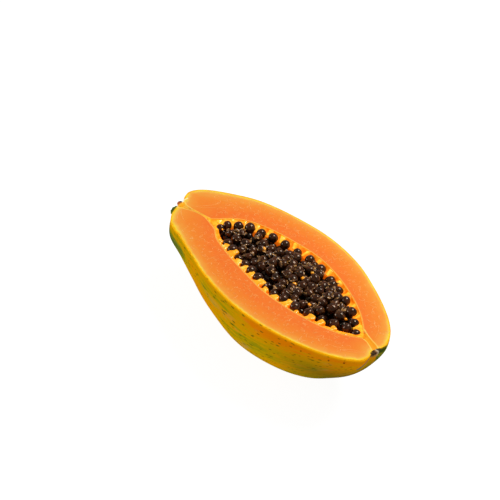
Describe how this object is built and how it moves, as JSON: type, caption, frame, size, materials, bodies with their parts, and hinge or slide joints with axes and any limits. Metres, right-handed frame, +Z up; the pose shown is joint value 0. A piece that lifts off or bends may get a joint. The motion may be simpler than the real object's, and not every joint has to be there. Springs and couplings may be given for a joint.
{
  "type": "halved papaya",
  "caption": "Lengthwise half of a ripe papaya with a level cut face, a hollow packed with seeds, pulp stubs at its edge, and a small flat spot below to rest on.",
  "frame": {"origin": "under the middle of the whole, at the level of the flat spot the half rests on", "axes": "+X from the stem end to the blossom end, +Y to the fuller side, +Z up out of the level cut face"},
  "size_m": [0.21, 0.1038, 0.0612],
  "materials": {
    "fruit": "moist flesh, satin skin",
    "seeds": "wet gloss",
    "stalk": "dry and rough",
    "scar": "dry and rough"
  },
  "bodies": {
    "root": {"papaya_half": "fruit", "seeds": "seeds", "stalk_stump": "stalk", "blossom_scar": "scar"}
  },
  "joints": []
}
